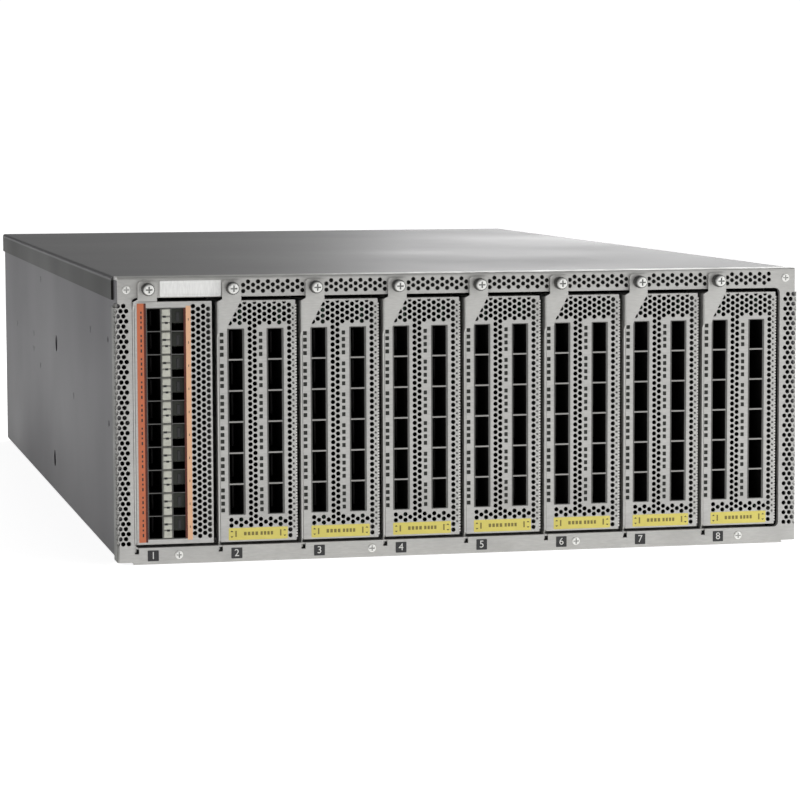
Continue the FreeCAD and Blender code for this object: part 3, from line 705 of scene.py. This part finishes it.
def digits(shape, text, x, z, size, y, mark):
    """Flat figures of one line of text, standing on the front plane."""
    curve = bpy.data.curves.new("figure", "FONT")
    curve.body = text
    curve.size = size
    curve.align_x = "CENTER"
    curve.align_y = "CENTER"
    curve.extrude = 0.05
    curve.resolution_u = 3
    holder = bpy.data.objects.new("figure", curve)
    mesh = bpy.data.meshes.new_from_object(holder)
    shape.add([(x + v.co.x, y - v.co.z, z + v.co.y) for v in mesh.vertices],
              [tuple(p.vertices) for p in mesh.polygons], mark)
    bpy.data.objects.remove(holder)
    bpy.data.curves.remove(curve)
    bpy.data.meshes.remove(mesh)


def front_frame():
    shape = Shape()
    front_skin(shape)
    lip = rect(OPEN_LEFT, OPEN_RIGHT, OPEN_LOW, OPEN_HIGH, 3.0)
    pierced(shape, offset(lip, FRAME_SHEET), [lip], facing(FACE + FRAME_SHEET), 2.8, 0.1)
    number_plates(shape)
    for n in SLOTS:
        digits(shape, str(n), SLOT_X[n] + 11.45, 5.35, 6.4, FACE - 0.24, 3)
    spots = [(-HALF + 7.1, TOP - 7.5), (HALF - 8.0, TOP - 6.2)]
    spots += [(-HALF + x, 5.5) for x in (37.9, 159.5, 292.0, 400.1)]
    for x, z in spots:
        # The recesses take the number plate's near-black: painted shade.
        cross_head(shape, x, z, FACE, 2.5, 0.65, 1, 2, 24, -1, 0.68)
    put("front_frame_shell", shape.mesh("front_frame_shell", [SILVER, HEAD, PLATE_AND_RECESS_SHADE, DIGIT, FLANGE_SHADE]), "chassis",
        ["front_frame"])


def badge_panel():
    shape = Shape()
    x = SLOT_X[1]
    u0, u1, z0, z1 = BADGE_FIELD
    field = rect(x + u0, x + u1, z0, z1, 0.6)
    u0, u1, z0, z1 = BADGE_OUTER
    pierced(shape, rect(x + u0, x + u1, z0, z1, 0.8), [field], facing(FACE - 0.7), 0.7, 0.15)
    pierced(shape, offset(field, 0.2), [], facing(FACE - 0.45), 0.4, 0.05)
    put("badge_panel", shape.mesh("badge_panel", [BADGE]), "chassis", ["badge_plate"])


# ======================================================================================
# Line modules
# ======================================================================================
def qsfp_holes():
    """Vent holes of the forty-gigabit faces: a field above the ports, full columns, and rows below."""
    holes = []
    for k in range(VENT_COLUMNS):
        u = VENT_FIRST - VENT_PITCH * k
        last = 38 if k % 2 else 40
        for m in range(last + 1):
            z = TOP - VENT_DROP[k % 2] - VENT_STEP * m
            above = m <= 3
            below = m == 38 if k % 2 else m in (37, 38)
            through = k == 0 or (k in (7, 8) and m <= 38)
            if above or below or through:
                holes.append(circle(u, z, 1.2 if z > 160.0 else HOLE_R))
    for m in range(39):
        holes.append(circle(SMALL_HOLE_U, TOP - SMALL_HOLE_DROP - VENT_STEP * m, SMALL_HOLE_R, 8))
    return holes


def qsfp_windows():
    """Small indicator windows, four beside each port."""
    windows = []
    for port in range(QSFP_ROWS):
        for i in range(4):
            z = TOP - WINDOW_DROP - QSFP_PITCH * port - WINDOW_STEP * i
            for u0, u1 in WINDOW_U:
                windows.append(rect(u0, u1, z - WINDOW_HALF, z + WINDOW_HALF, 0.3))
    return windows


def carrier_body(shape, holes):
    """Face folded into the side wall, returns, runners and the lever's pin."""
    u0, u1 = FACE_U
    z0, z1 = FACE_Z
    y0 = FACE + FACE_Y
    back = y0 + 14.0
    end = FACE + MODULE_DEPTH
    pierced(shape, rect(u0, u1, z0, z1, 0.4), holes, facing(y0), FACE_T, 0.06)
    block(shape, u0, u0 + 1.2, y0 + 0.8, end, z0, z1, 0.2)
    block(shape, u1 - 1.2, u1, y0 + 0.8, back, z0, z1, 0.2)
    for z in (z0, z1 - 1.2):
        block(shape, u0, u1, y0 + 0.8, back, z, z + 1.2, 0.2)
        block(shape, u0, u0 + 8.0, back - 1.0, end, z, z + 1.2, 0.2)
    lathe(shape, (0.3, FACE + 9.0, 18.0), "x", [(1.7, 0.0), (2.0, 0.3), (2.0, 2.4)], 20, 1)


def gasket(shape, mark):
    """Spring fingers of the shielding strip along the right edge of a face."""
    z = FACE_Z[0] + 1.6
    while z < FACE_Z[1] - 2.4:
        block(shape, 49.0, 50.2, FACE + 0.9, FACE + 6.0, z, z + 1.3, 0.25, mark)
        z += 1.8


def arrow(shape, u, z, size, up, mark):
    """Plain triangle that points to a port."""
    tip = size if up else -size
    corners = [(u - size, z - tip / 2), (u + size, z - tip / 2), (u, z + tip / 2)]
    if not up:
        corners.reverse()
    pierced(shape, corners, [], facing(FACE + FACE_Y - 0.16), 0.08, 0.02, mark=mark)


def qsfp_face(shape):
    left, right = QSFP_RIM
    low = QSFP_Z0 - 0.6
    high = QSFP_Z0 + (QSFP_ROWS - 1) * QSFP_PITCH + QSFP_SIZE[1] + 0.6
    slots = [rect(u - left, u + QSFP_SIZE[0] + right, low, high, 0.3) for u in QSFP_U]
    carrier_body(shape, slots + qsfp_holes() + qsfp_windows())
    y = FACE + FACE_Y
    for u0, u1 in ((1.75, 4.7), (26.1, 28.9)):
        block(shape, u0, u1, y + 0.35, y + 2.4, 30.0, 143.5, 0.1, 3)
    pierced(shape, rect(*LABEL, 0.5), [], facing(y - 0.1), 0.12, 0.04, mark=2)
    for u in (8.5, 41.8):
        arrow(shape, u, 18.9, 0.9, True, 4)
        arrow(shape, u, 15.3, 0.9, False, 4)
    bars = [(11.1, 0.45, 1.9), (39.2, 0.45, 1.9)]
    bars += [(16.9 + 2.4 * i, 0.8, 1.1) for i in range(4)]
    bars += [(27.2 + 2.15 * i, 0.7, 1.1) for i in range(4)]
    for u, half, reach in bars:
        outline = rect(u - half, u + half, LABEL_MIDDLE - reach, LABEL_MIDDLE + reach)
        pierced(shape, outline, [], facing(y - 0.16), 0.08, 0.02, mark=5)
    gasket(shape, 1)


def sfp_face(shape):
    holes = []
    for k in range(4):
        u = SFP_VENT_FIRST + SFP_VENT_PITCH * k
        start = TOP - SFP_VENT_DROP[k % 2]
        holes += [circle(u, start - SFP_VENT_STEP * m, SFP_HOLE_R) for m in range(40)]
    top = SFP_Z0 + (SFP_ROWS - 1) * SFP_PITCH + SFP_SIZE[1]
    window = rect(SFP_U[0] - 0.6, SFP_U[1] + SFP_SIZE[0] + 0.6, SFP_Z0 - 0.6, top + 0.6, 0.3)
    carrier_body(shape, [window] + holes)
    y = FACE + FACE_Y
    pierced(shape, rect(3.0, 7.2, 13.6, 161.0, 0.3), [], facing(y - 0.12), 0.14, 0.04, mark=2)
    # Dark red strip at the orange label's right edge: painted shade.
    pierced(shape, rect(7.1, 8.55, 13.6, 161.0, 0.3), [], facing(y - 0.10), 0.12, 0.04, mark=5)
    pierced(shape, rect(33.15, 36.2, 14.6, 159.2, 0.3), [], facing(y - 0.12), 0.14, 0.04, mark=3)
    # Dark red strip beside the right ports, left of the peach label: painted shade.
    pierced(shape, rect(31.8, 33.2, 15.6, 158.0, 0.3), [], facing(y - 0.10), 0.12, 0.04, mark=5)
    for port in range(SFP_ROWS):
        z = SFP_Z0 + SFP_PITCH * port + SFP_SIZE[1] / 2
        for dz, reach in ((-4.6, 1.0), (-1.4, 0.6), (1.6, 1.0), (4.6, 0.6)):
            outline = rect(5.1, 6.0, z + dz - reach, z + dz + reach)
            pierced(shape, outline, [], facing(y - 0.17), 0.06, 0.02, mark=4)
        pierced(shape, rect(34.5, 34.9, z - 0.7, z + 0.7), [], facing(y - 0.17), 0.06, 0.02, mark=4)


def cage(shape, u, size, z0, pitch, rows, dark, rim, web, margins=(0.5, 0.5)):
    """Column of port cages: rims round deep pockets, each with its card slot. The rims' darker steel and the
    pocket walls' near-black are painted shade; the card slots and back block share the near-black.
    """
    width, height = size
    left, right = margins
    y = FACE + FACE_Y
    slack = (pitch - height - web) / 2
    pockets = []
    for i in range(rows):
        z = z0 + pitch * i
        pockets.append(rect(u, u + width, z - slack, z + height + slack, 0.35))
    top = z0 + pitch * (rows - 1) + height
    outline = rect(u - left, u + width + right, z0 - 0.5 - slack, top + 0.5 + slack)
    # The rims take a darker steel: painted shade.
    pierced(shape, outline, pockets, facing(y), 0.6, 0.08, mark=rim)
    # The pocket walls take the near-black: painted shade.
    pierced(shape, outline, pockets, facing(y + 0.6), CAGE_DEPTH - 0.6, 0.02, mark=rim, wall=dark)
    block(shape, u - 0.45, u + width + 0.45, y + CAGE_DEPTH - 2.0, y + CAGE_DEPTH - 0.1,
          z0 - 0.4, top + 0.4, 0.1, dark)
    for i in range(rows):
        z = z0 + pitch * i
        block(shape, u + width * 0.42, u + width * 0.58, y + 14.0, y + CAGE_DEPTH - 1.0,
              z + 2.0, z + height - 2.0, 0.15, dark)


def card(shape, u, parts):
    """Circuit board with a few packages, standing edge on behind the cages."""
    block(shape, u, u + 1.6, FACE + CARD_FRONT, FACE + CARD_BACK, 16.0, 157.0, 0.15, 3)
    for y0, y1, z0, z1, height in parts:
        block(shape, u + 1.6, u + 1.6 + height, FACE + y0, FACE + y1, z0, z1, 0.3, 4)


def plug(shape):
    block(shape, 22.0, 27.0, FACE + CARD_BACK, FACE + 308.5, 70.0, 110.0, 0.4, 4)
    for i in range(18):
        z = 71.5 + 2.15 * i
        block(shape, 21.95, 27.05, FACE + 300.0, FACE + 307.5, z, z + 1.0, 0.1, 5)


def qsfp_ports(shape):
    y = FACE + FACE_Y
    margins = (QSFP_RIM[0] - 0.1, QSFP_RIM[1] - 0.1)
    for u in QSFP_U:
        cage(shape, u, QSFP_SIZE, QSFP_Z0, QSFP_PITCH, QSFP_ROWS, 1, 7, 1.1, margins)
        for i in range(1, QSFP_ROWS):
            z = QSFP_Z0 + QSFP_PITCH * i - (QSFP_PITCH - QSFP_SIZE[1]) / 2
            block(shape, u - 0.3, u + QSFP_SIZE[0] + 0.3, y - 0.05, y + 2.0, z - 0.5, z + 0.5, 0.1, 0)
    packages = ((90.0, 130.0, 30.0, 70.0, 3.0), (90.0, 130.0, 95.0, 135.0, 3.0),
                (170.0, 220.0, 55.0, 115.0, 5.0), (240.0, 262.0, 24.0, 40.0, 2.0))
    for u in QSFP_U:
        card(shape, u + QSFP_SIZE[0] + 0.6, packages)
    first = QSFP_U[0] + QSFP_SIZE[0] + 0.6
    second = QSFP_U[1] + QSFP_SIZE[0] + 0.6
    block(shape, first + 1.6, second, FACE + 276.0, FACE + 280.0, 60.0, 120.0, 0.2, 4)
    plug(shape)


def sfp_ports(shape):
    for u in SFP_U:
        cage(shape, u, SFP_SIZE, SFP_Z0, SFP_PITCH, SFP_ROWS, 1, 7, 0.6)
    y = FACE + FACE_Y
    width, height = SFP_SIZE
    left = SFP_U[1]
    middle = left + width / 2
    top = SFP_Z0 + (SFP_ROWS - 1) * SFP_PITCH + height
    for port in range(SFP_ROWS):
        z = SFP_Z0 + SFP_PITCH * port
        # The bar under the light pipe blocks takes the darker pipe copy: painted shade between them.
        block(shape, 17.85, 23.75, y + 0.1, y + 8.0, z - 0.3, z + SFP_PITCH - 0.5, 0.25, 8)
        for dz, tall in ((height - 4.3, 4.0), (height - 8.2, 3.0), (0.3, 4.4)):
            block(shape, 18.3, 23.4, y - 0.3, y + 4.0, z + dz, z + dz + tall, 0.35, 6)
        for u, dz in ((19.9, height - 4.9), (21.1, height - 8.8)):
            block(shape, u - 0.95, u + 0.95, y - 0.34, y, z + dz - 0.6, z + dz + 0.7, 0.1, 4)
        block(shape, left + 0.1, left + width - 0.1, y + 2.0, y + 3.0, z + 4.4, z + 13.3, 0.2, 2)
        block(shape, middle - 1.1, middle + 1.1, y + 1.7, y + 2.3, z + 5.2, z + 11.4, 0.2, 4)
    block(shape, 17.7, 23.8, y + 8.0, y + CAGE_DEPTH, SFP_Z0, top, 0.2, 4)
    board = left + width + 0.6
    card(shape, board, ((90.0, 130.0, 30.0, 70.0, 3.0), (90.0, 130.0, 95.0, 135.0, 3.0),
                        (170.0, 220.0, 55.0, 115.0, 5.0)))
    block(shape, 27.1, board, FACE + 286.0, FACE + 290.0, 72.0, 108.0, 0.2, 4)
    plug(shape)


def knurled_screw(shape):
    """Captive thumbscrew: knurled barrel, bright driven face, and a plain neck. The barrel's dark colour is
    painted shade.
    """
    x = SCREW_U
    seat = FACE - 2.5
    end = FACE - 10.5
    sides = 40
    rings = []
    for y, swell in ((seat, 0.0), (seat - 0.4, 1.0), (end + 2.6, 1.0), (end + 2.0, 0.0)):
        ring = []
        for i in range(sides):
            radius = 3.62 + (0.34 * swell if i % 2 else 0.0)
            turn = 2 * math.pi * i / sides
            ring.append((x + radius * math.cos(turn), y, SCREW_Z + radius * math.sin(turn)))
        rings.append(ring)
    for lower, upper in zip(rings, rings[1:]):
        faces = [(i, (i + 1) % sides, sides + (i + 1) % sides, sides + i) for i in range(sides)]
        shape.add(lower + upper, faces, 1)
    shape.add(rings[0], [tuple(range(sides))], 1)
    lathe(shape, (x, end + 2.1, SCREW_Z), "y", [(3.55, 0.0), (3.3, -0.5), (3.0, -0.6)], 32, 3)
    cross_head(shape, x, SCREW_Z, end + 1.6, 3.05, 1.6, 0, 2, 32, -1, 0.66)
    lathe(shape, (x, FACE - 2.5, SCREW_Z), "y", [(2.25, 0.0), (2.25, 5.0), (1.9, 5.5)], 24, 0)


QSFP_LOOKS = (MODULE, NICKEL, YELLOW, WINDOW, INK, OLIVE)
SFP_LOOKS = (MODULE, NICKEL, ORANGE, PEACH, INK, MAROON_SHADE)
PORT_LOOKS = (CAGE, CAGE_INSIDE_SHADE_AND_CONNECTORS, CAGE_GREEN, GREEN, BLACK_AND_RECESS_SHADE, GOLD, PIPE, CAGE_RIM_SHADE, PIPE_BASE_SHADE)


def line_modules():
    parts = {}
    for key, face, ports in (("qsfp", qsfp_face, qsfp_ports), ("sfp", sfp_face, sfp_ports)):
        shape = Shape()
        face(shape)
        marks = QSFP_LOOKS if key == "qsfp" else SFP_LOOKS
        parts[key] = shape.mesh("%s_carrier" % key, marks)
        shape = Shape()
        ports(shape)
        parts[key + "_ports"] = shape.mesh("%s_ports" % key, PORT_LOOKS)
    screw = Shape()
    knurled_screw(screw)
    # The recess takes the black plastic and the barrel the dark knurl steel: both painted shade.
    screw_mesh = screw.mesh("thumbscrew", [HEAD, KNURL_SHADE, BLACK_AND_RECESS_SHADE, PLAIN], 30)
    for n in SLOTS:
        key = "sfp" if n == 1 else "qsfp"
        at = (SLOT_X[n], 0.0, 0.0)
        name = "module_%d_" % n
        body = "module_%d" % n
        put(name + "face", parts[key], body, [name + "carrier"], at)
        put(name + "cages", parts[key + "_ports"], body, [name + "ports"], at)
        put(name + "thumbscrew", screw_mesh, "screw_%d" % n, [name + "screw"], at)


# ======================================================================================
# Chassis
# ======================================================================================
def side_rivets():
    """Flush rivets of both side walls."""
    shape = Shape()
    wall = HALF - SKIN
    spots = ((462.0, 153.0), (472.0, 86.5), (247.0, 83.0), (143.5, 136.0))
    spots += ((656.0, 107.0), (520.0, 108.0), (522.0, 96.0))
    for y, z in spots:
        for sign in (-1, 1):
            profile = [(2.6, 0.0), (2.4, sign * 0.12), (1.5, sign * 0.28), (0.5, sign * 0.33)]
            lathe(shape, (sign * wall, FACE + y, z), "x", profile, 20, 0)
    put("side_rivets", shape.mesh("side_rivets", [PAINT_SHADED_FOOT]), "chassis", ())


def fan_guards():
    for n in range(1, 5):
        low, high = (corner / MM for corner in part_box("fan_%d_tray" % n))
        x = (low.x + high.x) / 2
        z = 118.0
        y = BAY + 1.6
        shape = Shape()
        for radius in (10.0, 17.0, 24.0, 31.0, 38.0):
            wire_ring(shape, (x, y, z), "y", radius, 0.8)
        for i in range(4):
            turn = math.radians(45 + 90 * i)
            reach = (math.cos(turn), math.sin(turn))
            rod(shape, (x + 10 * reach[0], y - 1.0, z + 10 * reach[1]),
                (x + 42 * reach[0], y - 1.0, z + 42 * reach[1]), 0.8)
            cross_head(shape, x + 43.4 * reach[0], z + 43.4 * reach[1], BAY, 2.6, 1.2, 1, 2, 20, 1)
        name = "fan_%d_guard" % n
        # The guard screws' recesses take the dark knurl steel: painted shade.
        put(name, shape.mesh(name, [NICKEL, NICKEL, KNURL_SHADE]), "fan_%d" % n, ())


def rear_screws():
    shape = Shape()
    spots = [(x, 173.4) for x in (-200.0, -100.0, 0.0, 100.0, 205.0)]
    spots += [(-212.0, z) for z in (58.0, 120.0)] + [(212.0, z) for z in (60.0, 150.0)]
    for x, z in spots:
        cross_head(shape, x, z, REAR, 1.9, 0.6, 0, 1, 20, 1)
    # The recesses take the dark knurl steel: painted shade.
    put("rear_screws", shape.mesh("rear_screws", [NICKEL, KNURL_SHADE]), "chassis", ())


def dress_nodes():
    """Materials of the CAD parts that stay in view."""
    looks = {
        "base_tray": PAINT_SHADED_FOOT, "top_cover": COVER_SHADED_FLANGE, "lower_card_guide": PLAIN, "upper_card_guide": GUIDE_SHADE,
        "midplane": GREEN, "rear_deck": PLAIN, "rear_frame": PAINT_SHADED_FOOT, "main_board": GREEN,
        "power_board": GREEN, "mgmt_board": PLAIN,
    }
    for n in SLOTS:
        looks["module_%d_lever" % n] = LEVER
    for n in range(1, 5):
        looks["psu_%d_body" % n] = ALUMINIUM
        looks["psu_%d_latch" % n] = TAB
        looks["fan_%d_tray" % n] = BLACK_AND_RECESS_SHADE
        looks["fan_%d_rotor" % n] = BLACK_AND_RECESS_SHADE
    for name, material in looks.items():
        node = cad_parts[name]
        node.data.materials.clear()
        node.data.materials.append(material)


# ======================================================================================
# Stage
# ======================================================================================
def floor():
    mesh = bpy.data.meshes.new("floor")
    size = 9.0
    corners = [(-size, -size, 0), (size, -size, 0), (size, size, 0), (-size, size, 0)]
    mesh.from_pydata(corners, [], [(0, 1, 2, 3)])
    n = Nodes("floor_paper")
    n.bump(n.noise(40.0), 0.02, 0.001)
    shade = n.ramp(n.noise(3.0), [(0.3, (0.88, 0.88, 0.88)), (0.7, (0.9, 0.9, 0.9))])
    n.shader.inputs["Emission Color"].default_value = (1.0, 1.0, 1.0, 1.0)
    n.shader.inputs["Emission Strength"].default_value = 0.86
    mesh.materials.append(n.finish(shade, n.map_range(n.noise(5.0), 0.3, 0.7, 0.85, 0.95), 0.0, 0.1))
    piece = bpy.data.objects.new("floor", mesh)
    piece.location = (0.0, 0.0, CAD_LO.z - 0.0005)
    bpy.context.scene.collection.objects.link(piece)


def studio_world():
    """White backdrop for the camera; a softer room, brighter to the right, lights the object."""
    world = bpy.data.worlds.new("studio")
    bpy.context.scene.world = world
    world.use_nodes = True
    tree = world.node_tree
    tree.nodes.clear()
    out = tree.nodes.new("ShaderNodeOutputWorld")
    mix = tree.nodes.new("ShaderNodeMixShader")
    seen = tree.nodes.new("ShaderNodeBackground")
    room = tree.nodes.new("ShaderNodeBackground")
    path = tree.nodes.new("ShaderNodeLightPath")
    coords = tree.nodes.new("ShaderNodeTexCoord")
    split = tree.nodes.new("ShaderNodeSeparateXYZ")
    ramp = tree.nodes.new("ShaderNodeValToRGB")
    shift = tree.nodes.new("ShaderNodeMapRange")
    seen.inputs["Color"].default_value = (1.0, 1.0, 1.0, 1.0)
    seen.inputs["Strength"].default_value = 1.05
    room.inputs["Strength"].default_value = 0.82
    shift.inputs["From Min"].default_value = -1.0
    shift.inputs["From Max"].default_value = 1.0
    ramp.color_ramp.elements[0].position = 0.35
    ramp.color_ramp.elements[0].color = (0.16, 0.16, 0.165, 1.0)
    ramp.color_ramp.elements[1].position = 0.75
    ramp.color_ramp.elements[1].color = (0.55, 0.55, 0.54, 1.0)
    links = tree.links
    links.new(coords.outputs["Generated"], split.inputs["Vector"])
    links.new(split.outputs["X"], shift.inputs["Value"])
    links.new(shift.outputs["Result"], ramp.inputs["Fac"])
    links.new(ramp.outputs["Color"], room.inputs["Color"])
    links.new(path.outputs["Is Camera Ray"], mix.inputs["Fac"])
    links.new(room.outputs["Background"], mix.inputs[1])
    links.new(seen.outputs["Background"], mix.inputs[2])
    links.new(mix.outputs["Shader"], out.inputs["Surface"])


def softbox(name, place, target, size, power, colour=(1.0, 1.0, 1.0)):
    light = bpy.data.lights.new(name, "AREA")
    light.shape = "RECTANGLE"
    light.size, light.size_y = size
    light.energy = power
    light.color = colour
    holder = bpy.data.objects.new(name, light)
    holder.location = place
    holder.rotation_euler = (Vector(target) - Vector(place)).to_track_quat("-Z", "Y").to_euler()
    holder.visible_camera = False
    bpy.context.scene.collection.objects.link(holder)


def lights():
    """Broad key from the right, and a panel behind on the right that the top mirrors."""
    softbox("key", (0.95, -0.95, 0.7), (0.0, 0.0, 0.08), (0.8, 0.8), 4.2)
    softbox("back_panel", (1.21, 1.15, 0.55), (0.15, 0.0, 0.15), (2.15, 1.0), 19.5)


def camera():
    """Long lens at the left, a little higher than the switch, with no shift."""
    azimuth = math.radians(-12.571)
    elevation = math.radians(5.264)
    roll = math.radians(-0.203)
    level = math.cos(elevation)
    back = Vector((math.sin(azimuth) * level, -math.cos(azimuth) * level, math.sin(elevation)))
    right = (-back).cross(Vector((0, 0, 1))).normalized()
    up = right.cross(-back)
    across = right * math.cos(roll) + up * math.sin(roll)
    upright = up * math.cos(roll) - right * math.sin(roll)
    lens = bpy.data.cameras.new("camera")
    lens.sensor_width = 36.0
    lens.lens = 134.886
    lens.clip_end = 60.0
    holder = bpy.data.objects.new("camera", lens)
    turn = Matrix((across, upright, back)).transposed().to_4x4()
    holder.matrix_world = Matrix.Translation((-0.4472, -2.2077, 0.26975)) @ turn
    bpy.context.scene.collection.objects.link(holder)
    bpy.context.scene.camera = holder


camera()
bpy.context.scene.view_settings.view_transform = "Standard"
studio_world()
lights()
floor()
front_frame()
badge_panel()
line_modules()
side_rivets()
fan_guards()
rear_screws()
dress_nodes()
